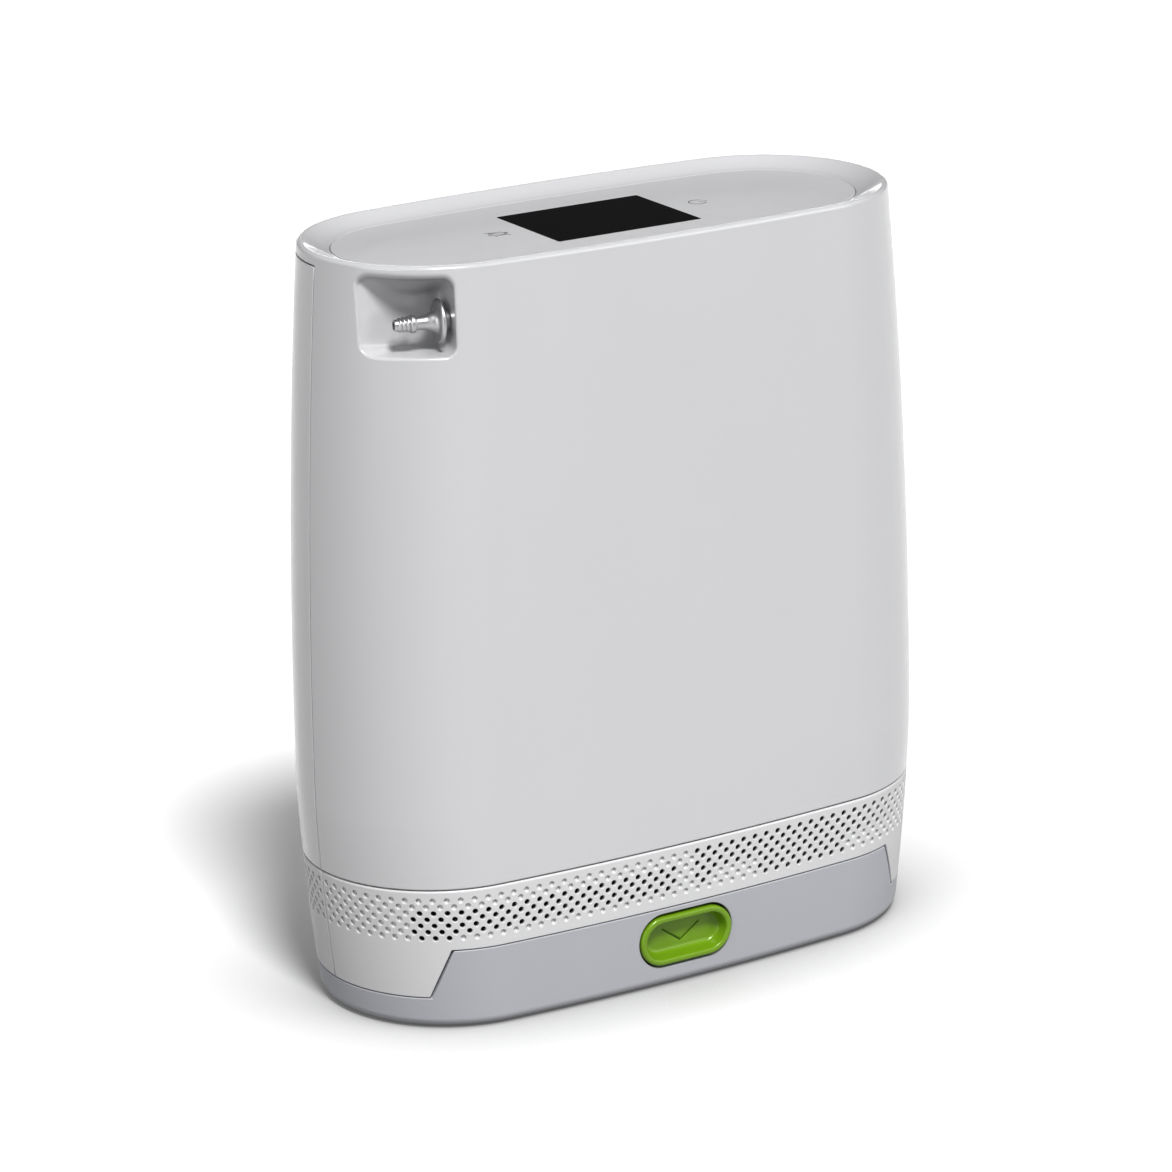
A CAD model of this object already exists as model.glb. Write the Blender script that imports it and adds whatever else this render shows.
"""Looks of a portable oxygen concentrator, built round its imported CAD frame."""
import math

import bmesh
import bpy
import numpy as np
from mathutils import Matrix, Vector
from mathutils.geometry import delaunay_2d_cdt
from mathutils.kdtree import KDTree

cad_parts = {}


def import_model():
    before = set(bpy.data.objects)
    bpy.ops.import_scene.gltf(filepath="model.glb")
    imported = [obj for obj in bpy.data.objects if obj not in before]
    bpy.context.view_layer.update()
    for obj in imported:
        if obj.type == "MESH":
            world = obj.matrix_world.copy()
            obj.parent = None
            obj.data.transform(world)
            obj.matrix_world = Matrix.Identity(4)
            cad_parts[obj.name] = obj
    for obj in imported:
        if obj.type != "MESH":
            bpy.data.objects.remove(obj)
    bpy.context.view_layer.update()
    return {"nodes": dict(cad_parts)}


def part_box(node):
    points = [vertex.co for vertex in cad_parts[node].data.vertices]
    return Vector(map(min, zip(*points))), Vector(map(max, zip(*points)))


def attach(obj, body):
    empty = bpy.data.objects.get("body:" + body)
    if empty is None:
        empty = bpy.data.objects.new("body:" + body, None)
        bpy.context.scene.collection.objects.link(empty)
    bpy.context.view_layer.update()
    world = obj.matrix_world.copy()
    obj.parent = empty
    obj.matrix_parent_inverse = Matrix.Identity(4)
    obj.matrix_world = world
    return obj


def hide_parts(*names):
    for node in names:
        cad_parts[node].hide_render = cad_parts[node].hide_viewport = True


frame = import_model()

MM = 0.001


def low(node, axis):
    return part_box(node)[0][axis] / MM


def high(node, axis):
    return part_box(node)[1][axis] / MM


# ---------------- sizes, in millimetres
X, Y, Z = 0, 1, 2
BODY_W = 211.0
BODY_D = 91.0
WAIST_Z = 68.0
TOP_TAPER = (7.4, 3.1)
BASE_TAPER = (5.6, 1.3)
TOP_BEND = 2
BASE_BEND = 1.5
END_ROUND = 0.95
WALL = 2.4
INNER_GRID = (6.0, 10.0)

RIM_Z = high("front_housing", Z)
HOUSING_BASE = low("front_housing", Z)
BAND_TOP = high("front_vent_band", Z)
SEAM = HOUSING_BASE - BAND_TOP
CASE_TOP = high("battery_case", Z)
BAND_BASE = CASE_TOP + SEAM
LEG_BASE = low("front_vent_band", Z)
SHELF_Z = LEG_BASE - SEAM
CASE_BASE = low("battery_case", Z)
REAR_TOP = high("rear_housing", Z)
COLLAR_Z = REAR_TOP + SEAM
FRONT_SPLIT = high("front_vent_band", Y)
REAR_SPLIT = low("rear_vent_band", Y)
PANEL_Z = high("top_panel", Z)
PANEL_T = PANEL_Z - low("top_panel", Z)
PANEL_A = high("top_panel", X)
PANEL_B = high("top_panel", Y)
PANEL_GAP = 0.15

RIM_R = 1.2
RIM_FLAT = 0.4
ROOF_T = 2.0
FOOT_R = 3.0
FACE_TOP_X = 79.0
FACE_BASE_X = 84.5

TURN = math.radians(12)
OUTLET = np.array([-69.9, -30.8, 221.1])
RECESS_LEFT = -25.5
RECESS_FLOOR = -9.1
RECESS_TOP = 13.9
RECESS_BACK = 7.6
RECESS_BACK_TOP = 7.2
RECESS_LIP = 0.8
RECESS_BROW = 2.3

LATCH_W = 33.0
LATCH_H = 16.1
LATCH_MID = low("latch_button", Z) + LATCH_H / 2
LATCH_FRONT = low("latch_button", Y)
LATCH_BACK = -39.6
CUP_DEPTH = 4.4
LATCH_GAP = 0.9
LATCH_RECESS_Y = -37.0
LATCH_WALL = 1.2

EDGE_R = 0.35
BROAD_EDGE_R = 0.6
BAND_EDGE_R = 0.7

VENT_ROWS = (43.0, 40.93, 38.86, 36.8, 34.73, 32.67, 30.6)
VENT_R = 0.86
VENT_LIP = 0.32
VENT_PIT = 0.75
VENT_END = 1.4
BLIND_FROM = 94.8
GRILLE_T = 1.3
VENT_COLUMNS = 240


# ---------------- the body's surface
def half_sizes(z):
    up = np.maximum(z - WAIST_Z, 0) / (RIM_Z - WAIST_Z)
    down = np.maximum(WAIST_Z - z, 0) / WAIST_Z
    return (
        BODY_W / 2 - TOP_TAPER[0] * up**TOP_BEND - BASE_TAPER[0] * down**BASE_BEND,
        BODY_D / 2 - TOP_TAPER[1] * up**TOP_BEND - BASE_TAPER[1] * down**BASE_BEND,
    )


def arcs(a, b):
    """End radius, side radius, the angle where they meet, and the lengths of half a side and of a quarter."""
    r = END_ROUND * b
    side = ((a - r) ** 2 + b * b - r * r) / (2 * (b - r))
    turn = np.arctan2(side - b, a - r)
    half_side = side * (math.pi / 2 - turn)
    return r, side, turn, half_side, half_side + r * turn


def oval(a, b, share, depth=0.0):
    """Points at each share of the way round an oval, from the front middle towards +X, moved in by depth."""
    r, side, turn, half_side, quarter = arcs(a, b)
    around = (share % 1.0) * 4
    part = np.floor(around) % 4
    past = around - np.floor(around)
    t = np.where(part % 2 == 1, 1 - past, past)
    run = t * quarter
    flat = run < half_side
    angle = np.where(flat, math.pi / 2 - run / side, turn - (run - half_side) / r)
    radius = np.where(flat, side, r) - depth
    x = np.where(flat, 0, a - r) + radius * np.cos(angle)
    y = np.where(flat, b - side, 0) + radius * np.sin(angle)
    return np.where(part < 2, x, -x), np.where((part == 0) | (part == 3), -y, y)


ROUND = float(4 * arcs(*half_sizes(WAIST_Z))[4])


def body(places, depth=0.0):
    """3-D points of (s, z) places: s runs round the body at its waist from the front middle, to the right."""
    places = np.asarray(places, float)
    z = places[:, 1]
    x, y = oval(*half_sizes(z), places[:, 0] / ROUND, depth)
    return np.column_stack([x, y, z])


def quarter_turn(steps):
    """Angles that end at a right angle."""
    return [math.pi / 2 * k / steps for k in range(1, steps + 1)]


def unit(vectors):
    return vectors / np.maximum(np.linalg.norm(vectors, axis=1), 1e-12)[:, None]


def body_normals(places):
    step = 0.02
    ds, dz = np.array([step, 0]), np.array([0, step])
    across = body(places + ds) - body(places - ds)
    up = body(places + dz) - body(places - dz)
    return unit(np.cross(across, up))


def s_at_y(y, z):
    """How far round the plane at a small negative y meets the right-hand end."""
    r, _, turn, half_side, quarter = arcs(*half_sizes(z))
    return (half_side + r * (turn - np.arcsin(-y / r))) / (4 * quarter) * ROUND


def s_at_x(x, z):
    """How far round the front reaches a given x."""
    a, b = half_sizes(z)
    r, side, turn, half_side, quarter = arcs(a, b)
    size = abs(x)
    on_side = side * math.asin(min(1.0, size / side))
    on_end = half_side + r * (turn - math.acos(min(1.0, max(-1.0, (size - a + r) / r))))
    run = on_side if on_side < half_side else on_end
    return math.copysign(run / (4 * quarter) * ROUND, x)


# ---------------- outlines on a flat sheet
def stretch(start, end, step):
    """Points from start up to, but not at, end."""
    start, end = np.array(start, float), np.array(end, float)
    count = max(1, int(round(np.linalg.norm(end - start) / step)))
    return start + (end - start) * (np.arange(count) / count)[:, None]


def polygon(corners, step, fillets=None, closed=True, fillet_steps=6):
    """A closed outline through the corners, with some corners rounded and the edges cut into steps."""
    corners = [np.array(c, float) for c in corners]
    fillets = fillets or {}
    path = []
    count = len(corners)
    for i, corner in enumerate(corners):
        radius = fillets.get(i, 0)
        if not radius:
            path.append(corner)
            continue
        to_last = unit((corners[i - 1] - corner)[None])[0]
        to_next = unit((corners[(i + 1) % count] - corner)[None])[0]
        half = math.acos(float(np.clip(to_last @ to_next, -1, 1))) / 2
        reach = radius / math.tan(half)
        middle = corner + unit((to_last + to_next)[None])[0] * radius / math.sin(half)
        first, last = corner + to_last * reach - middle, corner + to_next * reach - middle
        for k in range(fillet_steps + 1):
            mix = first + (last - first) * k / fillet_steps
            path.append(middle + mix / np.linalg.norm(mix) * radius)
    ends = path[1:] + path[:1] if closed else path[1:]
    pieces = [stretch(p, q, step) for p, q in zip(path, ends)]
    return np.vstack(pieces if closed else pieces + [path[-1][None]])


def split_edge(y, z0, z1, side, step=4.0):
    """The parting seam at one end, from z0 up to, but not at, z1, or down."""
    count = max(1, int(round(abs(z1 - z0) / step)))
    z = z0 + (z1 - z0) * np.arange(count) / count
    return np.column_stack([side * s_at_y(y, z), z])


def circle(x, y, r, count):
    """A hole's outline, clockwise."""
    angles = -np.arange(count) * 2 * math.pi / count
    return np.column_stack([x + r * np.cos(angles), y + r * np.sin(angles)])


def stadium(w, h, count=20, straight=14):
    """Clockwise outline of a bar with round ends, centred on the origin."""
    half = (w - h) / 2
    fall = np.arange(count) / count * math.pi
    right = np.column_stack([half + h / 2 * np.sin(fall), h / 2 * np.cos(fall)])
    top = np.column_stack([np.linspace(-half, half, straight, endpoint=False), np.full(straight, h / 2)])
    return np.vstack([top, right, -top, -right])


def rounded_box(x0, x1, y0, y1, r, count=8, sides=(14, 12)):
    """Anticlockwise outline of a rounded rectangle. Equal counts give outlines that match point by point."""
    middles = [(x1 - r, y0 + r, -90), (x1 - r, y1 - r, 0), (x0 + r, y1 - r, 90), (x0 + r, y0 + r, 180)]
    corners = []
    for mx, my, start in middles:
        angles = np.radians(start + np.linspace(0, 90, count))
        corners.append(np.column_stack([mx + r * np.cos(angles), my + r * np.sin(angles)]))
    path = []
    for i, corner in enumerate(corners):
        following = corners[(i + 1) % 4][0]
        path.append(corner)
        n = sides[(i + 1) % 2]
        path.append(corner[-1] + (following - corner[-1]) * (np.arange(1, n) / n)[:, None])
    return np.vstack(path)


def inside(points, loop):
    """Which points lie in a closed loop."""
    x, y = points[:, 0], points[:, 1]
    result = np.zeros(len(points), bool)
    for (x0, y0), (x1, y1) in zip(loop, np.roll(loop, -1, 0)):
        if y0 != y1:
            crossing = ((y0 > y) != (y1 > y)) & (x < (x1 - x0) * (y - y0) / (y1 - y0) + x0)
            result ^= crossing
    return result


def in_any(points, loops):
    """Which points lie in one of many small closed loops."""
    result = np.zeros(len(points), bool)
    for loop in loops:
        near = np.flatnonzero(np.all((points > loop.min(0)) & (points < loop.max(0)), axis=1))
        result[near[inside(points[near], loop)]] = True
    return result


def triangulate(outline, holes, spacing):
    """Points and triangles that fill an outline round its holes. The loops' points come first, in order."""
    loops = [np.asarray(l, float) for l in [outline, *holes]]
    edge_points = np.vstack(loops)
    lo, hi = loops[0].min(0), loops[0].max(0)
    dx, dy = spacing
    columns = np.arange(lo[0] + dx / 2, hi[0], dx)
    rows = np.arange(lo[1] + dy / 2, hi[1], dy)
    grid = np.array([(x + (dx / 2 if k % 2 else 0), y) for k, y in enumerate(rows) for x in columns])
    grid = grid.reshape(-1, 2)
    grid = grid[inside(grid, loops[0]) & ~in_any(grid, loops[1:])]
    tree = KDTree(len(edge_points))
    for i, p in enumerate(edge_points):
        tree.insert((p[0], p[1], 0), i)
    tree.balance()
    margin = 0.4 * min(dx, dy)
    keep = [tree.find((p[0], p[1], 0))[2] > margin for p in grid]
    points = np.vstack([edge_points, grid[keep]]) if len(grid) else edge_points
    edges, start = [], 0
    for loop in loops:
        n = len(loop)
        edges += [(start + i, start + (i + 1) % n) for i in range(n)]
        start += n
    made = delaunay_2d_cdt([Vector(p) for p in points], edges, [], 0, 1e-7)
    if not all(made[3]):
        raise ValueError("two loops cross")
    source = [ids[0] for ids in made[3]]
    triangles = np.array([[source[i] for i in face] for face in made[2]])
    middles = points[triangles].mean(1)
    return points, triangles[inside(middles, loops[0]) & ~in_any(middles, loops[1:])]


# ---------------- meshes
class Build:
    """Collects points, in millimetres, and faces for one piece."""

    def __init__(self):
        self.points, self.normals, self.faces, self.count = [], [], [], 0

    def add(self, points, normals=None):
        points = np.asarray(points, float)
        self.points.append(points)
        self.normals.append(np.zeros_like(points) if normals is None else normals)
        self.count += len(points)
        return np.arange(self.count - len(points), self.count)

    def triangles(self, ids, triangles):
        self.faces += [tuple(t) for t in np.asarray(ids)[triangles]]

    def strip(self, a, b, closed=True):
        n = len(a) if closed else len(a) - 1
        m = len(a)
        self.faces += [(a[i], a[(i + 1) % m], b[(i + 1) % m], b[i]) for i in range(n)]

    def rings(self, first, rings):
        """Strips from a loop of ids through rings of points, and the last ring's ids."""
        last = first
        for points in rings:
            ids = self.add(points)
            self.strip(last, ids)
            last = ids
        return last

    def cap(self, loop):
        self.faces.append(tuple(loop))

    def at(self, ids):
        return np.vstack(self.points)[ids]

    def lip(self, ids, points, normals, radius, depth, steps=4):
        """Rounds a closed edge over and takes it straight in to a depth. Its material is on its left."""
        out = away(points, normals)
        radius = np.broadcast_to(radius, len(points))[:, None]
        rings = [
            points + radius * (out * math.sin(t) - normals * (1 - math.cos(t)))
            for t in quarter_turn(steps)
        ]
        rings.append(points + radius * out - depth * normals)
        return self.rings(ids, rings)

    def piece(self, look, name, on, *nodes, slot, sharp=38):
        """Makes the object, smooth but for its sharp edges, riding on a body in place of CAD nodes."""
        mesh = bpy.data.meshes.new(name)
        mesh.from_pydata((np.vstack(self.points) * MM).tolist(), [], self.faces)
        work = bmesh.new()
        work.from_mesh(mesh)
        kept = work.verts.layers.float_vector.new("skin")
        work.verts.ensure_lookup_table()
        for v, n in zip(work.verts, np.vstack(self.normals)):
            v[kept] = n
        bmesh.ops.remove_doubles(work, verts=work.verts, dist=1e-4 * MM)
        bmesh.ops.dissolve_degenerate(work, edges=work.edges, dist=1e-8)
        bmesh.ops.recalc_face_normals(work, faces=work.faces)
        work.verts.ensure_lookup_table()
        normals = [tuple(v[kept]) for v in work.verts]
        work.verts.layers.float_vector.remove(kept)
        work.to_mesh(mesh)
        work.free()
        mesh.shade_smooth()
        mesh.set_sharp_from_angle(angle=math.radians(sharp))
        if any(any(n) for n in normals):
            mesh.normals_split_custom_set_from_vertices(normals)
        obj = bpy.data.objects.new(name, mesh)
        bpy.context.scene.collection.objects.link(obj)
        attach(obj, on)
        if nodes:
            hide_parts(*nodes)
        mesh.materials.append(look)


def away(points, normals):
    """Directions that leave the material at each point of a closed edge that has it on its left."""
    ahead = unit(np.roll(points, -1, 0) - points)
    b1 = unit(np.cross(np.roll(ahead, 1, 0), normals))
    b2 = unit(np.cross(ahead, normals))
    return (b1 + b2) / np.maximum(1 + np.sum(b1 * b2, axis=1), 0.4)[:, None]


def flat_place(axis_right, axis_up, origin):
    """Maps flat (u, v) points onto a plane, with a depth along its back."""
    right, up = np.array(axis_right, float), np.array(axis_up, float)
    normal = np.cross(right, up)

    def place(points, depth=0.0):
        return np.array(origin, float) + points[:, :1] * right + points[:, 1:] * up - depth * normal

    return place, normal


def shell(build, place, normals_of, outline, holes=(), pits=(), depth=WALL, edge_r=EDGE_R, spacing=(2, 4)):
    """A wall of even depth with rounded edges. Holes go right through, and pits end at their own depth.
    A hole is (loop, lip radius) and a pit is (loop, lip radius, depth)."""
    loops = [h[0] for h in holes] + [p[0] for p in pits]
    flat, triangles = triangulate(outline, loops, spacing)
    normals = normals_of(flat)
    points = place(flat)
    ids = build.add(points, normals)
    build.triangles(ids, triangles)
    jobs = [(outline, edge_r, depth, False)]
    jobs += [(loop, r, depth, False) for loop, r in holes]
    jobs += [(loop, r, d, True) for loop, r, d in pits]
    start, inner = 0, []
    for loop, r, d, closed in jobs:
        part = slice(start, start + len(loop))
        last = build.lip(ids[part], points[part], normals[part], r, d)
        if closed:
            build.cap(last)
        else:
            inner.append(last)
        start += len(loop)
    flat, triangles = triangulate(outline, [h[0] for h in holes], (spacing[0] * 3, spacing[1] * 3))
    edge_count = sum(len(i) for i in inner)
    inner.append(build.add(place(flat[edge_count:], depth)))
    build.triangles(np.concatenate(inner), triangles)


def skin(build, outline, hole, spacing, depth=0.0):
    """One face of the body's wall, with a hole. Only the outer face, at no depth, has its own normals."""
    flat, triangles = triangulate(outline, [hole], spacing)
    points, normals = body(flat, depth), body_normals(flat)
    ids = build.add(points, None if depth else normals)
    build.triangles(ids, triangles)
    return points, normals, ids, ids[len(outline) : len(outline) + len(hole)]


def plate(build, up, origin, outline, holes=(), **sizes):
    """A flat shell whose outline lies along X and a second axis."""
    place, normal = flat_place((1, 0, 0), up, origin)
    shell(build, place, lambda flat: np.tile(normal, (len(flat), 1)), outline, holes, **sizes)


# ---------------- materials
class Look:
    """A material in the making: its Principled shader, textured in the object's own coordinates."""

    def __init__(self, name):
        self.material = bpy.data.materials.new(name)
        self.material.use_nodes = True
        self.tree = self.material.node_tree
        self.shader = self.tree.nodes["Principled BSDF"]
        self.place = self.tree.nodes.new("ShaderNodeTexCoord").outputs["Object"]

    def feed(self, node, inputs):
        """Gives each named input its value, or a link where the value is another node's output."""
        for name, value in inputs.items():
            if isinstance(value, bpy.types.NodeSocket):
                self.tree.links.new(value, node.inputs[name])
            else:
                node.inputs[name].default_value = value

    def add(self, kind, inputs, **settings):
        """A new node's outputs."""
        node = self.tree.nodes.new("ShaderNode" + kind)
        for name, value in settings.items():
            setattr(node, name, value)
        self.feed(node, inputs)
        return node.outputs

    def noise(self, size, detail=2.0, stretch_by=None):
        """A noise texture whose blotches are about size metres across."""
        place = self.place
        if stretch_by:
            place = self.add("Mapping", {"Vector": place, "Scale": stretch_by})["Vector"]
        return self.add("TexNoise", {"Vector": place, "Scale": 1 / size, "Detail": detail})["Fac"]

    def ramp(self, value, lo, hi):
        """Takes a texture's middle range to between two numbers."""
        ends = {"From Min": 0.3, "From Max": 0.7, "To Min": lo, "To Max": hi}
        return self.add("MapRange", {"Value": value, **ends})["Result"]

    def mixed(self, value, first, second):
        """A colour between two, by a texture."""
        inputs = {"Factor": value, "A": (*first, 1), "B": (*second, 1)}
        return self.add("Mix", inputs, data_type="RGBA")["Result"]

    def finish(self, heights, inputs):
        """Feeds the shader, with bumps from (texture, height in metres) pairs one on another."""
        normal = {}
        for value, height in heights:
            bump = {"Height": value, "Strength": 1.0, "Distance": height}
            normal = {"Normal": self.add("Bump", {**bump, **normal})["Normal"]}
        self.feed(self.shader, {**inputs, **normal})
        return self.material


def shade(color, by):
    return tuple(min(1.0, c * by) for c in color)


def plastic(name, color, rough, grain=0.00035, grain_depth=2e-6, mottle=0.02, coat=0.0, wave=0.0):
    """Moulded plastic: a fine spark-eroded grain, faint flow marks in the colour and an uneven gloss."""
    look = Look(name)
    flow = look.ramp(look.noise(0.03, 3, (1, 1, 0.4)), 0, 1)
    heights = [(look.noise(grain, 3), grain_depth)]
    if wave:
        heights.append((look.noise(0.006, 1), wave))
    return look.finish(heights, {
        "Base Color": look.mixed(flow, shade(color, 1 - mottle), shade(color, 1 + mottle)),
        "Roughness": look.ramp(look.noise(0.012, 5), rough * 0.88, rough * 1.12),
        "Coat Weight": coat,
        "Coat Roughness": 0.08,
    })


def metal(name, color, rough, brushed=None, size=0.0004, depth=0.000003):
    """Metal with a brushed or cast surface; brushed stretches the grain along X, Y or Z."""
    look = Look(name)
    grain = look.noise(size, 4, brushed)
    stain = look.ramp(look.noise(0.008, 4), 0, 1)
    return look.finish([(grain, depth)], {
        "Metallic": 1.0,
        "Base Color": look.mixed(stain, shade(color, 0.93), shade(color, 1.05)),
        "Roughness": look.ramp(grain, rough * 0.75, rough * 1.25),
    })


def banded(name, color, gap_color, rough, pitch, direction, metallic=0.0, depth=0.00005):
    """Fine parallel lines, such as laminations or wound wire, pitch metres apart."""
    look = Look(name)
    inputs = {"Vector": look.place, "Scale": 0.314 / pitch, "Distortion": 0.3}
    lines = look.add("TexWave", inputs, bands_direction=direction)["Fac"]
    colour = look.mixed(lines, gap_color, color)
    return look.finish([(lines, depth)], {"Metallic": metallic, "Base Color": colour, "Roughness": rough})


def cells(name, color, dark, rough, size, depth):
    """Packed beads or an open-cell foam, about size metres apart."""
    look = Look(name)
    distance = look.add("TexVoronoi", {"Vector": look.place, "Scale": 1 / size})["Distance"]
    height = look.add("MapRange", {"Value": distance, "To Min": 1.0, "To Max": 0.0}, clamp=False)["Result"]
    tint = look.mixed(distance, color, dark)
    return look.finish([(height, depth)], {"Base Color": tint, "Roughness": rough})


def silicone(name, color):
    look = Look(name)
    haze = look.noise(0.004, 3)
    tint = look.mixed(look.ramp(haze, 0, 1), shade(color, 0.94), shade(color, 1.04))
    return look.finish([(haze, 0.00002)], {
        "Base Color": tint, "Subsurface Weight": 0.4, "Subsurface Scale": 0.002, "Roughness": 0.35})


def board(name):
    """Solder mask over copper traces, with vias."""
    look = Look(name)
    bricks = look.add("TexBrick", {
        "Vector": look.add("Mapping", {"Vector": look.place, "Rotation": (math.radians(90), 0, 0)})["Vector"],
        "Scale": 90,
        "Mortar Size": 0.035,
        "Color1": (0.012, 0.10, 0.04, 1),
        "Color2": (0.015, 0.12, 0.05, 1),
        "Mortar": (0.03, 0.2, 0.08, 1),
    })
    rough = look.ramp(look.noise(0.01, 3), 0.3, 0.42)
    return look.finish([(bricks["Fac"], 0.00003)], {"Base Color": bricks["Color"], "Roughness": rough})


def display_glass(name):
    """Black cover glass with a faint smear in its gloss."""
    look = Look(name)
    smear = look.noise(0.015, 4, (1, 2.5, 1))
    return look.finish([(look.noise(0.02, 1), 0.000004)], {
        "Base Color": (0.002, 0.002, 0.002, 1),
        "Specular IOR Level": 0.03,
        "Roughness": look.ramp(smear, 0.04, 0.09),
    })


housing_white = plastic(
    "housing_white", (0.54, 0.54, 0.55), 0.24, grain_depth=1e-6, mottle=0.006, coat=0.35, wave=3e-6)
band_white = plastic("band_white", (0.58, 0.58, 0.585), 0.42, mottle=0.006)
panel_white = plastic("panel_white", (0.54, 0.54, 0.55), 0.34, mottle=0.006)
case_grey = plastic("case_grey", (0.405, 0.41, 0.435), 0.46, mottle=0.008)
latch_green = plastic("latch_green", (0.165, 0.295, 0.007), 0.34, mottle=0.02, coat=0.2)
black_plastic = plastic("black_plastic", (0.03, 0.03, 0.032), 0.45, mottle=0.08)
ink_grey = plastic("ink_grey", (0.07, 0.07, 0.075), 0.5)
filter_shell = silicone("filter_shell", (0.8, 0.83, 0.87))
tube_silicone = silicone("tube_silicone", (0.7, 0.73, 0.76))
cell_sleeve = plastic("cell_sleeve", (0.03, 0.12, 0.32), 0.3, mottle=0.06, coat=0.4)
black_rubber = plastic(
    "black_rubber", (0.018, 0.018, 0.018), 0.75, grain=0.0008, grain_depth=6e-6, mottle=0.1)
chrome = metal("chrome", (0.46, 0.46, 0.47), 0.4, (1, 6, 6), depth=6e-7)
steel = metal("steel", (0.55, 0.55, 0.57), 0.3, (1, 1, 8))
cast_aluminium = metal("cast_aluminium", (0.62, 0.63, 0.65), 0.48, size=0.0009, depth=0.00002)
drawn_aluminium = metal("drawn_aluminium", (0.7, 0.71, 0.73), 0.32, (8, 8, 0.6))
bronze = metal("bronze", (0.6, 0.42, 0.2), 0.45, size=0.0006, depth=0.00001)
gold = metal("gold", (0.85, 0.62, 0.25), 0.25)
laminations = banded("laminations", (0.3, 0.3, 0.32), (0.06, 0.06, 0.065), 0.45, 0.0006, "Z", 1.0)
copper_wire = banded("copper_wire", (0.62, 0.27, 0.1), (0.16, 0.05, 0.02), 0.35, 0.0007, "Z", 0.9)
beads = cells("beads", (0.75, 0.66, 0.5), (0.3, 0.24, 0.16), 0.8, 0.0016, 0.0005)
foam = cells("foam", (0.012, 0.012, 0.013), (0.05, 0.05, 0.052), 0.95, 0.0012, 0.0006)
solder_mask = board("solder_mask")
cover_glass = display_glass("cover_glass")

NODE_LOOKS = {
    black_plastic: "display_module oxygen_sensor chassis silencers valve_coils sieve_bed_caps"
    " board_components power_inlet fan_frame fan_rotor power_connector battery_socket",
    solder_mask: "touch_key_board main_board battery_board",
    steel: "barb_nut compressor_bolts case_screws battery_screws crank_shaft idler_crank_a idler_crank_b"
    " idler_crank_c feed_valve_plunger purge_valve_plunger feed_valve_spring purge_valve_spring latch_spring",
    laminations: "motor_stator motor_rotor",
    copper_wire: "stator_windings",
    bronze: "shaft_bushes crank_bearing",
    gold: "power_contacts",
    cast_aluminium: "motor_case compressor_frame fixed_scroll scroll_cover orbiting_scroll manifold_block",
    drawn_aluminium: "sieve_bed_tubes product_tank",
    beads: "sieve_media",
    filter_shell: "outlet_filter",
    foam: "intake_filter",
    tube_silicone: "product_tubes air_tubes",
    black_rubber: "vibration_mounts battery_feet",
    cell_sleeve: "battery_cells",
    case_grey: "battery_lid battery_case",
    housing_white: "front_housing rear_housing",
    band_white: "front_vent_band rear_vent_band",
    panel_white: "top_panel",
    cover_glass: "display_window",
    chrome: "outlet_barb",
    latch_green: "latch_button",
}
for look, names in NODE_LOOKS.items():
    for node in names.split():
        paint = frame["nodes"][node].data.materials
        paint.clear()
        paint.append(look)


# ---------------- cannula recess
ALONG = np.array([math.cos(TURN), -math.sin(TURN)])
INTO = np.array([math.sin(TURN), math.cos(TURN)])
MOUTH_R = 3.2
BACK_LEFT = -14.0
BACK_R = 1.6
FLOOR_LEFT = -8.0
FLOOR_RIGHT = -1.4
FLOOR_R = 1.0
INNER_GROW = 1.8


def recess_depth_at(x, z, depth=0.0):
    """How far into the body the surface lies behind each (x, z) of the recess's frame."""
    a, b = half_sizes(z + OUTLET[2])
    r = END_ROUND * b
    centre = np.column_stack([-(a - r), np.zeros_like(z)])
    start = OUTLET[:2] + x[:, None] * ALONG - centre
    half = start @ INTO
    return -half - np.sqrt(half**2 - np.sum(start**2, axis=1) + (r - depth) ** 2)


def recess_point(x, depth, z):
    flat = OUTLET[:2] + x[:, None] * ALONG + depth[:, None] * INTO
    return np.column_stack([flat, z + OUTLET[2]])


def recess_places(x, z, depth=0.0):
    """The (s, z) places on the body of (x, z) in the recess's frame."""
    points = recess_point(x, recess_depth_at(x, z, depth), z)
    a, b = half_sizes(points[:, 2])
    r, _, turn, half_side, quarter = arcs(a, b)
    angle = np.arctan2(np.abs(points[:, 1]), np.abs(points[:, 0]) - (a - r))
    run = half_side + r * (turn - angle)
    return np.column_stack([-run / (4 * quarter) * ROUND, points[:, 2]])


def recess_loops(grow):
    """Mouth, back edge and back wall of the recess, as matching (x, z) loops, each grown all round."""
    left, right, base = RECESS_LEFT - grow, grow, RECESS_FLOOR - grow
    mouth = rounded_box(left, right, base, RECESS_TOP + min(grow, RECESS_LIP), MOUTH_R)
    back = rounded_box(BACK_LEFT - grow, right, base + 0.3, RECESS_BACK_TOP + grow, BACK_R)
    flat = rounded_box(FLOOR_LEFT, FLOOR_RIGHT, RECESS_FLOOR + 3.3, RECESS_BACK_TOP - 1.2, FLOOR_R)
    return mouth, back, flat


def recess_rings(mouth_points, grow):
    """Rings of points from the mouth down the walls, round the fillets and onto the back wall."""
    _, back, flat = recess_loops(grow)
    depth = np.full(len(back), RECESS_BACK + grow)
    edge = recess_point(back[:, 0], depth, back[:, 1])
    flat = recess_point(flat[:, 0], depth, flat[:, 1])
    wall = np.linalg.norm(edge - mouth_points, axis=1)
    fillet = np.linalg.norm(flat - edge, axis=1)
    bend = mouth_points + (edge - mouth_points) * np.clip(1 - fillet / wall, 0.12, 1)[:, None]
    rings = [mouth_points + (bend - mouth_points) * t for t in (0.25, 0.5, 0.75, 1.0)]
    for t in np.arange(1, 9) / 8:
        rings.append(bend * (1 - t) ** 2 + edge * 2 * t * (1 - t) + flat * t * t)
    return rings


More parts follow.
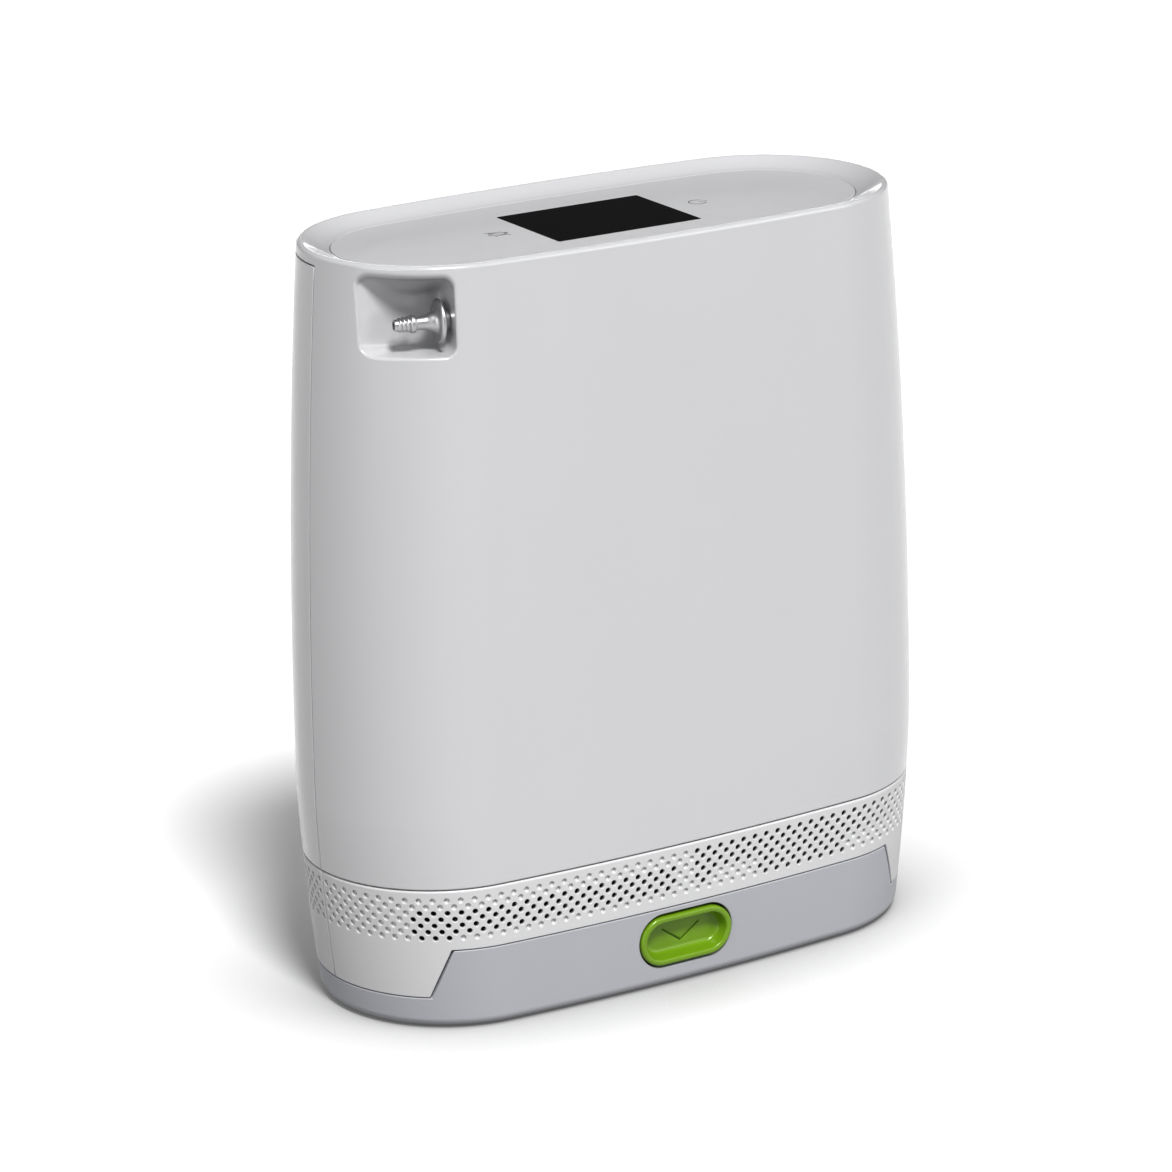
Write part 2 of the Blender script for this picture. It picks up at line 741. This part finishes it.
# ---------------- pieces of the case
def with_ends(upper_z, lower, step=3.0, count=300):
    """Closes an outline that runs all the way round: its lower edge, the cut at the back and the top edge.
    Also says which of its points are the top edge."""
    half = ROUND / 2
    up = stretch((half, lower[-1, 1]), (half, upper_z), step)[1:]
    top = np.column_stack([np.linspace(half, -half, count + 1), np.full(count + 1, upper_z)])
    down = np.column_stack([-up[:, 0], up[:, 1]])[::-1]
    start = len(lower) + len(up)
    return np.vstack([lower, up, top, down]), slice(start, start + count)


def housing_base_edge():
    """Collar, seam and base edge of the front housing, from the back round to the back again."""
    split, collar_z, base_z = FRONT_SPLIT - EDGE_R, COLLAR_Z + EDGE_R, HOUSING_BASE + BROAD_EDGE_R
    base = s_at_y(split, base_z)
    collar = np.linspace(s_at_y(split, collar_z), ROUND / 2, 60)
    heights = np.full(len(collar), collar_z)
    edge = np.vstack([
        np.column_stack([-collar[::-1], heights]),
        split_edge(split, collar_z, base_z, -1)[1:],
        stretch((-base, base_z), (base, base_z), 2.0),
        split_edge(split, base_z, collar_z, 1),
        np.column_stack([collar, heights]),
    ])
    return edge, np.where(edge[:-1, 1] < base_z + 0.1, BROAD_EDGE_R, EDGE_R)


def rim_rings(top):
    """Rings over the places of the top edge: rim, dished band, the panel's seat and the roof's underside."""
    share = top[:, 0] / ROUND
    seat_r, seat_w, seat_t, dish_bend, dish_steps = 0.4, 2.6, 1.5, 1.35, 14

    def at_height(z, depth):
        return body(np.column_stack([top[:, 0], np.full(len(top), z)]), depth)

    def panel_ring(grow, z):
        x, y = oval(PANEL_A + grow, PANEL_B + grow, share)
        return np.column_stack([x, y, np.full(len(x), z)])

    rings = [
        at_height(RIM_Z - RIM_R + RIM_R * math.sin(t), RIM_R * (1 - math.cos(t)))
        for t in quarter_turn(6)
    ]
    brink, seat = at_height(RIM_Z, RIM_R + RIM_FLAT), panel_ring(PANEL_GAP + seat_r, PANEL_Z)
    for k in range(dish_steps + 1):
        t = k / dish_steps
        ring = brink * (1 - t) + seat * t
        ring[:, 2] = PANEL_Z + (RIM_Z - PANEL_Z) * (1 - t) ** dish_bend
        rings.append(ring)
    for t in quarter_turn(3):
        rings.append(panel_ring(PANEL_GAP + seat_r * (1 - math.sin(t)), PANEL_Z - seat_r * (1 - math.cos(t))))
    shelf_z = PANEL_Z - PANEL_T - 0.1
    under = [(PANEL_GAP, shelf_z), (-seat_w, shelf_z), (-seat_w, shelf_z - seat_t)]
    return rings + [panel_ring(grow, z) for grow, z in under]


def front_housing():
    build = Build()
    lower, radii = housing_base_edge()
    mouth, _, _ = recess_loops(0)
    brow = np.clip((mouth[:, 1] - RECESS_TOP) / 4 + 1, 0, 1) ** 2
    round_over = RECESS_LIP + (RECESS_BROW - RECESS_LIP) * brow
    ahead = unit(np.roll(mouth, -1, 0) - np.roll(mouth, 1, 0))
    grown = mouth + np.column_stack([ahead[:, 1], -ahead[:, 0]]) * round_over[:, None]
    hole = recess_places(grown[:, 0], grown[:, 1])[::-1]
    outline, top = with_ends(RIM_Z - RIM_R, lower)
    points, normals, ids, hole_ids = skin(build, outline, hole, (2.0, 3.2))
    edge = slice(0, len(lower) - 1)
    lip_ids = build.lip(ids[edge], points[edge], normals[edge], radii, WALL)
    roof_ids = build.rings(ids[top], rim_rings(outline[top]))

    inner_mouth, _, _ = recess_loops(INNER_GROW)
    inner_hole = recess_places(inner_mouth[:, 0], inner_mouth[:, 1], WALL)[::-1]
    outline, top = with_ends(RIM_Z - ROOF_T - 0.5, lower)
    _, _, ids, hole_in = skin(build, outline, inner_hole, INNER_GRID, WALL)
    build.strip(roof_ids, ids[top])
    build.strip(lip_ids, ids[edge])

    # the recess, and its back as seen from inside
    mouth_points, mouth_normals = build.at(hole_ids), normals[hole_ids]
    out = away(mouth_points, mouth_normals)
    lip = [
        mouth_points + round_over[::-1, None] * (out * math.sin(t) - mouth_normals * (1 - math.cos(t)))
        for t in quarter_turn(4)
    ]
    last = build.rings(hole_ids, lip)
    for start, ring, grow in ((last, lip[-1], 0.0), (hole_in, build.at(hole_in), INNER_GROW)):
        build.cap(build.rings(start, [r[::-1] for r in recess_rings(ring[::-1], grow)]))
    build.piece(housing_white, "front_housing_shell", "unit", "front_housing", slot="white_housing")


def rear_housing():
    build = Build()
    inlet_lip, inlet_hole_r = 0.8, 6.3
    lo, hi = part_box("power_inlet")
    inlet_x, inlet_z = (lo.x + hi.x) / 2 / MM, (lo.z + hi.z) / 2 / MM
    hole = circle(ROUND / 2 - s_at_x(inlet_x, inlet_z), inlet_z, inlet_hole_r + inlet_lip, 48)
    split, base_z, top_z = REAR_SPLIT + EDGE_R, HOUSING_BASE + BROAD_EDGE_R, REAR_TOP - EDGE_R
    base, top = s_at_y(split, base_z), s_at_y(split, top_z)
    up = split_edge(split, base_z, top_z, -1)
    up[:, 0] += ROUND
    outline = np.vstack([
        stretch((base, base_z), (ROUND - base, base_z), 2.0),
        up,
        stretch((ROUND - top, top_z), (top, top_z), 2.0),
        split_edge(split, top_z, base_z, 1),
    ])
    radii = np.where(outline[:, 1] < base_z + 0.1, BROAD_EDGE_R, EDGE_R)
    shell(build, body, body_normals, outline, [(hole, inlet_lip)], edge_r=radii, spacing=(2.0, 3.2))
    build.piece(housing_white, "rear_housing_shell", "unit", "rear_housing", slot="white_housing")


# ---------------- vent band
def vent_is_open(s, row, rear):
    """Whether a hole goes right through. s is where its column is, in millimetres from the middle."""
    if rear:
        return row > 1 and 3 < abs(s) < BLIND_FROM
    if s < -3.5:
        return row > 1 and s > -BLIND_FROM and (row < 6 or s < -79)
    for end, open_rows in ((3.5, 0), (10, 6), (28, 4), (62, 7), (BLIND_FROM, 4)):
        if s < end:
            return row < open_rows
    return False


def vent_band(rear):
    build = Build()
    split = REAR_SPLIT + EDGE_R if rear else FRONT_SPLIT - EDGE_R
    shift = ROUND / 2 if rear else 0.0
    leg_z, brow_z, top_z = LEG_BASE + EDGE_R, BAND_BASE + EDGE_R, BAND_TOP - BAND_EDGE_R
    leg_s = s_at_x(FACE_BASE_X + SEAM + EDGE_R, leg_z)
    brow_s = s_at_x(FACE_TOP_X + SEAM + EDGE_R, brow_z)

    def reach(z):
        return ROUND / 2 - s_at_y(split, z) if rear else s_at_y(split, z)

    lower = polygon(
        [(-reach(leg_z), leg_z), (-leg_s, leg_z), (-brow_s, brow_z), (brow_s, brow_z),
         (leg_s, leg_z), (reach(leg_z), leg_z)],
        2.0, {1: 0.6, 2: 0.9, 3: 0.9, 4: 0.6}, closed=False)[:-1]
    heights = np.linspace(leg_z, top_z, 10)
    right = np.column_stack([reach(heights), heights])[:-1]
    left = np.column_stack([-reach(heights), heights])[:0:-1]
    top = stretch((reach(top_z), top_z), (-reach(top_z), top_z), 2.0)
    outline = np.vstack([lower, right, top, left])
    outline[:, 0] += shift
    radii = np.where(outline[:, 1] > top_z - 0.1, BAND_EDGE_R, EDGE_R)

    holes, pits = [], []
    pitch = ROUND / VENT_COLUMNS
    limit = reach(np.array([VENT_ROWS[2]]))[0] - VENT_END
    for column in range(-VENT_COLUMNS // 4 - 4, VENT_COLUMNS // 4 + 5):
        s = column * pitch
        if abs(s) > limit:
            continue
        for row in range(column % 2, len(VENT_ROWS), 2):
            loop = circle(s + shift, VENT_ROWS[row], VENT_R + VENT_LIP, 16)
            if vent_is_open(s, row, rear):
                holes.append((loop, VENT_LIP))
            else:
                pits.append((loop, VENT_LIP, VENT_PIT))
    shell(
        build, body, body_normals, outline, holes, pits,
        depth=GRILLE_T, edge_r=radii, spacing=(2.4, 2.4))
    node = "rear_vent_band" if rear else "front_vent_band"
    build.piece(band_white, node + "_grille", "unit", node, slot="white_band")


# ---------------- control panel
def flat_box(node, inset, r):
    """Anticlockwise outline round a node's box seen from above, moved in by an inset."""
    lo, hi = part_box(node)
    return rounded_box(lo.x / MM + inset, hi.x / MM - inset, lo.y / MM + inset, hi.y / MM - inset, r)


def top_panel():
    build = Build()
    lip, gap, edge = 0.3, 0.1, 0.15
    outline = np.column_stack(oval(PANEL_A - lip, PANEL_B - lip, np.arange(300) / 300))
    cut = flat_box("display_window", -gap - edge, 0.6)[::-1]
    plate(
        build, (0, 1, 0), (0, 0, PANEL_Z), outline, [(cut, edge)],
        depth=PANEL_T, edge_r=lip, spacing=(5, 5))
    build.piece(panel_white, "control_panel", "unit", "top_panel", slot="white_housing")


def display_window():
    build = Build()
    edge, top_z = 0.15, high("display_window", Z)
    plate(
        build, (0, 1, 0), (0, 0, top_z), flat_box("display_window", edge, 0.5),
        depth=top_z - low("display_window", Z), edge_r=edge, spacing=(8, 8))
    build.piece(cover_glass, "display_glass", "unit", "display_window", slot="black_glass")


def ribbon(build, path, width, z, thick, closed=False):
    """A printed line of even width along a flat path."""
    path = np.array(path, float)
    ahead = np.roll(path, -1, 0) - path
    behind = path - np.roll(path, 1, 0)
    if not closed:
        ahead[-1], behind[0] = behind[-1], ahead[0]
    ahead, behind = unit(ahead), unit(behind)
    side_a = np.column_stack([-ahead[:, 1], ahead[:, 0]])
    side_b = np.column_stack([-behind[:, 1], behind[:, 0]])
    side = (side_a + side_b) / np.maximum(1 + np.sum(side_a * side_b, axis=1), 0.5)[:, None] * width / 2
    corners = []
    for offset, level in ((side, z + thick), (-side, z + thick), (-side, z - thick), (side, z - thick)):
        flat = path + offset
        corners.append(build.add(np.column_stack([flat, np.full(len(flat), level)])))
    for i in range(4):
        build.strip(corners[i], corners[(i + 1) % 4], closed)
    if not closed:
        build.cap([c[0] for c in corners])
        build.cap([c[-1] for c in corners][::-1])


def arc(cx, cy, r, start, end, count=24):
    angles = np.radians(np.linspace(start, end, count))
    return np.column_stack([cx + r * np.cos(angles), cy + r * np.sin(angles)])


def key_signs():
    """Power and muted-bell signs, both read from the right-hand end."""
    line, thick, across, off_middle = 0.4, 0.012, 35.5, 0.5
    power = [(arc(0, -0.1, 2.7, 128, 412, 40), False), ([(0, 0.6), (0, 3.3)], False)]
    dome = np.vstack([[(-2.5, -1.7), (-1.9, -1.1)], arc(0, 0.7, 1.9, 180, 0, 16), [(1.9, -1.1), (2.5, -1.7)]])
    clapper, knob = arc(0, -1.9, 0.9, 200, 340, 8), arc(0, 3.0, 0.42, -60, 240, 10)
    stroke = [(-2.9, -2.9), (2.9, 3.1)]
    bell = [(dome, True), (clapper, False), (knob, False), (stroke, False)]
    for name, x, paths in (("power_sign", across, power), ("mute_sign", -across, bell)):
        build = Build()
        for path, closed in paths:
            path = np.array(path, float)
            turned = np.column_stack([path[:, 1] + x, -path[:, 0] - off_middle])
            ribbon(build, turned, line, PANEL_Z, thick, closed)
        build.piece(ink_grey, name, "unit", slot="black_glass")


# ---------------- barb
def lathe(build, profile, place, count):
    """A turned ring from a closed (radius, length) profile; place maps (across, up, along) to 3-D points."""
    angles = np.arange(count) / count * 2 * math.pi
    rings = [place(r * np.cos(angles), r * np.sin(angles), np.full(count, z)) for r, z in profile]
    first = build.add(rings[0])
    build.strip(build.rings(first, rings[1:]), first)


def rounded_profile(corners, step=0.12):
    """Softens a turned profile's corners with short chamfer pairs."""
    path = [np.array(corners[0], float)]
    for last, here, following in zip(corners, corners[1:], corners[2:]):
        last, here, following = (np.array(p, float) for p in (last, here, following))
        a, b = last - here, following - here
        cut = min(step, np.linalg.norm(a) * 0.4, np.linalg.norm(b) * 0.4)
        p, q = here + a / np.linalg.norm(a) * cut, here + b / np.linalg.norm(b) * cut
        path += [p, (p + q) / 4 + here / 2, q]
    path.append(np.array(corners[-1], float))
    return path


def outlet_barb():
    """Turned along its own axis: each corner is (radius, distance from the recess wall)."""
    build = Build()
    face, tip, bore, nipple, shank, neck = 3.5, 16.5, 1.1, 1.5, 2.4, 3.4
    nipple_z, shank_z, wall_z, flange_z = -11, -7, 0.05, face - 1.5
    corners = [
        (bore, nipple_z), (nipple, nipple_z), (nipple, shank_z), (shank, shank_z),
        (shank, wall_z), (neck, wall_z), (neck, flange_z),
        (6.3, flange_z), (6.6, face - 1.2), (6.65, face - 0.8), (6.55, face - 0.35), (6.1, face),
        (4.4, face + 0.05), (3.7, face + 0.3), (3.1, face + 0.9), (2.7, face + 2.0), (2.2, face + 3.0),
        (2.05, face + 3.6), (2.0, face + 6.4), (2.1, face + 6.6), (2.7, face + 6.7),
        (2.7, face + 7.8), (2.1, face + 8.3),
    ]
    for k in range(3):
        base, wide = face + 8.4 + k * 1.2, 2.42 - 0.12 * k
        corners += [
            (wide - 0.35, base), (wide, base + 0.25), (wide - 0.05, base + 0.65), (wide - 0.4, base + 1.05)]
    corners += [(1.75, tip - 0.7), (1.62, tip), (bore, tip)]

    def place(across, up, along):
        flat = OUTLET[:2] - along[:, None] * ALONG + across[:, None] * INTO
        return np.column_stack([flat, OUTLET[2] + up])

    lathe(build, rounded_profile(corners), place, 72)
    build.piece(chrome, "cannula_barb", "unit", "outlet_barb", slot="chrome", sharp=50)


# ---------------- battery
def battery_case():
    build = Build()
    top_z, shelf_z, foot_z = CASE_TOP - EDGE_R, SHELF_Z - EDGE_R, CASE_BASE + FOOT_R
    leg_s, brow_s = s_at_x(FACE_BASE_X - EDGE_R, shelf_z), s_at_x(FACE_TOP_X - EDGE_R, top_z)
    half = ROUND / 2
    corners = [
        (half, top_z), (half - brow_s, top_z), (half - leg_s, shelf_z), (leg_s, shelf_z), (brow_s, top_z),
        (-brow_s, top_z), (-leg_s, shelf_z), (leg_s - half, shelf_z), (brow_s - half, top_z), (-half, top_z)]
    shape = polygon(corners, 2.0, {i: 0.6 for i in range(1, 9)}, closed=False)
    count = 300
    base = np.column_stack([np.linspace(-half, half, count + 1), np.full(count + 1, foot_z)])
    rise = stretch((half, foot_z), (half, top_z), 3.0)[1:]
    fall = np.column_stack([-rise[:, 0], rise[:, 1]])[::-1]
    outline = np.vstack([base, rise, shape, fall])
    top_start = len(base) + len(rise)
    top = slice(top_start, top_start + len(shape) - 1)

    def latch_opening(wider, higher):
        w, h = LATCH_W + 2 * LATCH_GAP + wider, LATCH_H + 2 * LATCH_GAP + higher
        return stadium(w, h) + (0, LATCH_MID)

    lip = 0.4
    points, normals, ids, hole_ids = skin(build, outline, latch_opening(2 * lip, 2 * lip), (2.0, 3.0))
    lip_ids = build.lip(ids[top], points[top], normals[top], EDGE_R, WALL)
    rings = []
    for t in quarter_turn(7):
        places = np.column_stack([base[:-1, 0], np.full(count, foot_z - FOOT_R * math.sin(t))])
        rings.append(body(places, FOOT_R * (1 - math.cos(t))))
    build.cap(build.rings(ids[:count], rings))

    _, _, ids, hole_in = skin(build, outline, latch_opening(3, 1.6), (6.0, 6.0), WALL)
    build.strip(lip_ids, ids[top])
    build.cap(ids[:count])

    last = build.lip(hole_ids, build.at(hole_ids), normals[hole_ids], lip, 1.5)
    for start, back_y in ((last, LATCH_RECESS_Y), (hole_in, LATCH_RECESS_Y + LATCH_WALL)):
        back = build.at(start).copy()
        back[:, 1] = back_y
        build.cap(build.rings(start, [back]))
    build.piece(case_grey, "battery_shell", "battery", "battery_case", slot="grey_case")


def shoulder_row(x, z, inset=0.5, count=41):
    """Points straight across the battery from front to back, just inside its surface."""
    a, b = half_sizes(z)
    r, big, _, _, _ = arcs(a, b)
    on_side = math.sqrt((big - inset) ** 2 - x**2) - (big - b)
    past_end = x - (a - r)
    if past_end > 0:
        on_side = min(on_side, math.sqrt(max((r - inset) ** 2 - past_end**2, 0.01)))
    return np.linspace(-on_side, on_side, count)


def battery_shoulders():
    """The shelves under the band's legs and the slanted walls beside them, one piece for each end."""
    thick, slant, gap = 2.0, 0.8, 0.3
    outer = half_sizes(SHELF_Z)[0] - 0.6
    brow_z = CASE_TOP - 0.4
    corners = [
        (outer, SHELF_Z), (FACE_BASE_X - gap, SHELF_Z), (FACE_TOP_X - gap, brow_z),
        (FACE_TOP_X - 2.2, brow_z)]
    path = polygon(corners, 1.2, {1: 1.0, 2: 0.5}, closed=False)
    for name, side in (("battery_shoulder_left", -1), ("battery_shoulder_right", 1)):
        build = Build()
        sheets = []
        for drop in (0.0, thick):
            rows = []
            for x, z in path:
                x = x - drop * slant if z > SHELF_Z + 0.5 else x
                y = shoulder_row(x, z - drop)
                rows.append(build.add([(side * x, v, z - drop) for v in y]))
            for a, b in zip(rows, rows[1:]):
                build.strip(a, b, closed=False)
            sheets.append(rows)
        top, under = sheets
        for end in (0, -1):
            build.strip(top[end], under[end], closed=False)
            build.strip([r[end] for r in top], [r[end] for r in under], closed=False)
        build.piece(case_grey, name, "battery", slot="grey_case")


def cup_rings(ring):
    """The latch cup from its back rim forward, over the edge, and down to the cup's floor."""
    back, edge, rim, rim_r, fillet, draft = LATCH_BACK - LATCH_FRONT, 0.85, 2.1, 0.75, 1.7, 0.5
    rings = [ring(0, back - 0.3), ring(0, edge)]
    rings += [ring(edge * (1 - math.cos(t)), edge * (1 - math.sin(t))) for t in quarter_turn(6)]
    rings += [ring(rim - rim_r + rim_r * math.sin(t), rim_r * (1 - math.cos(t))) for t in quarter_turn(5)]
    wall, corner = rim + draft, CUP_DEPTH - fillet
    rings.append(ring(wall, corner))
    rings += [
        ring(wall + fillet * (1 - math.cos(t)), CUP_DEPTH - fillet * (1 - math.sin(t)))
        for t in quarter_turn(6)
    ]
    return rings, wall + fillet


def latch_button():
    build = Build()
    place, normal = flat_place((1, 0, 0), (0, 0, 1), (0, LATCH_FRONT, LATCH_MID))

    def ring(inset, depth):
        return place(stadium(LATCH_W - 2 * inset, LATCH_H - 2 * inset), depth)

    rings, inset = cup_rings(ring)
    first = build.add(ring(0.3, LATCH_BACK - LATCH_FRONT))
    last = build.rings(first, rings)
    build.cap(first)

    # the cup's floor, with a chevron cut into it
    outline = stadium(LATCH_W - 2 * inset, LATCH_H - 2 * inset)[::-1]
    w, x, top_z, low_z, tip_r = 0.55, 6.8, 2.3, -2.6, 0.12
    chevron = polygon(
        [(-x - w / 2, top_z), (-x + w / 2, top_z + w / 2), (0, low_z + w),
         (x - w / 2, top_z + w / 2), (x + w / 2, top_z), (0, low_z - w)],
        0.7, {i: tip_r for i in (0, 1, 3, 4)})
    flat, triangles = triangulate(outline, [chevron], (1.5, 1.1))
    count = len(outline)
    ids = np.concatenate([last[::-1], build.add(place(flat[count:], CUP_DEPTH))])
    build.triangles(ids, triangles)
    hole = ids[count : count + len(chevron)]
    build.cap(build.lip(hole, build.at(hole), np.tile(normal, (len(hole), 1)), 0.08, 0.7, 2))

    # the tongue behind the case's front wall, and the hook at its top
    foot_z, tongue_z = LATCH_MID + LATCH_H / 2 - 1.6, high("latch_button", Z)
    front, back, half_w = -41.8, -40.2, 8.0
    for half, z0, z1, y0, y1 in (
        (half_w, foot_z, tongue_z - 0.7, front, back),
        (half_w - 0.15, tongue_z - 1.4, tongue_z, front - 0.2, back - 0.1),
    ):
        strap = rounded_box(-half, half, z0, z1, 0.5, 4, (6, 6))
        plate(build, (0, 0, 1), (0, y0, 0), strap, depth=y1 - y0, edge_r=0.1, spacing=(4, 4))
    build.piece(latch_green, "latch_cup", "latch", "latch_button", slot="latch_green")


front_housing()
rear_housing()
vent_band(False)
vent_band(True)
top_panel()
display_window()
key_signs()
outlet_barb()
battery_case()
battery_shoulders()
latch_button()


# ---------------- stage, lights and camera
def stage():
    half, contact_reach, pale, glow = 200.0, 0.07, (0.82, 0.82, 0.82, 1), 0.17
    mesh = bpy.data.meshes.new("floor")
    corners = [(-half, -half, 0), (half, -half, 0), (half, half, 0), (-half, half, 0)]
    mesh.from_pydata(corners, [], [(0, 1, 2, 3)])
    floor = bpy.data.objects.new("floor", mesh)
    bpy.context.scene.collection.objects.link(floor)
    look = Look("floor_white")
    contact = look.add("AmbientOcclusion", {"Distance": contact_reach, "Color": pale})["Color"]
    mesh.materials.append(look.finish([], {
        "Base Color": contact, "Emission Color": pale, "Emission Strength": glow, "Roughness": 0.9,
        "Specular IOR Level": 0.0,
    }))
    # light from below, and from the object back to the floor, passes it by
    floor.visible_diffuse = False
    floor.visible_shadow = False


def sun(name, power, angle, towards):
    """A large far softbox: its shadows soften with distance, and it lights the whole floor evenly."""
    light = bpy.data.lights.new(name, "SUN")
    light.energy = power
    light.angle = math.radians(angle)
    lamp = bpy.data.objects.new(name, light)
    lamp.rotation_mode = "QUATERNION"
    lamp.rotation_quaternion = Vector(towards).to_track_quat("Z", "Y")
    bpy.context.scene.collection.objects.link(lamp)


def world():
    sky = bpy.data.worlds.new("studio")
    bpy.context.scene.world = sky
    sky.use_nodes = True
    shader = sky.node_tree.nodes["Background"]
    shader.inputs["Color"].default_value = (1, 1, 1, 1)
    shader.inputs["Strength"].default_value = 0.17


def camera():
    azimuth, elevation, roll = (math.radians(v) for v in (-30.5, 18.0, -1.25))
    distance = 1.443
    aim = Vector((0, 0, RIM_Z / 2 * MM))
    flat = math.cos(elevation)
    back = Vector((math.sin(azimuth) * flat, -math.cos(azimuth) * flat, math.sin(elevation)))
    level = (-back).cross(Vector((0, 0, 1))).normalized()
    upright = level.cross(-back)
    right = math.cos(roll) * level + math.sin(roll) * upright
    up = -math.sin(roll) * level + math.cos(roll) * upright
    data = bpy.data.cameras.new("camera")
    data.sensor_width = 36.0
    data.lens = 142.0
    data.shift_x = -0.0169
    data.shift_y = -0.0039
    made = bpy.data.objects.new("camera", data)
    turn = Matrix((right, up, back)).transposed().to_4x4()
    made.matrix_world = Matrix.Translation(aim + back * distance) @ turn
    bpy.context.scene.collection.objects.link(made)
    bpy.context.scene.camera = made


stage()
world()
sun("key", 3.5, 14, (-0.12, -0.55, 0.826))
sun("front_fill", 1.0, 40, (0.604, -0.720, 0.342))
sun("left_fill", 1.1, 40, (-0.933, -0.250, 0.259))
sun("back_fill", 1.8, 40, (0.45, 0.86, -0.25))
sun("bounce", 0.75, 60, (0.25, -0.6, -0.76))
camera()
bpy.context.scene.view_settings.view_transform = "Standard"
bpy.context.scene.view_settings.gamma = 0.8
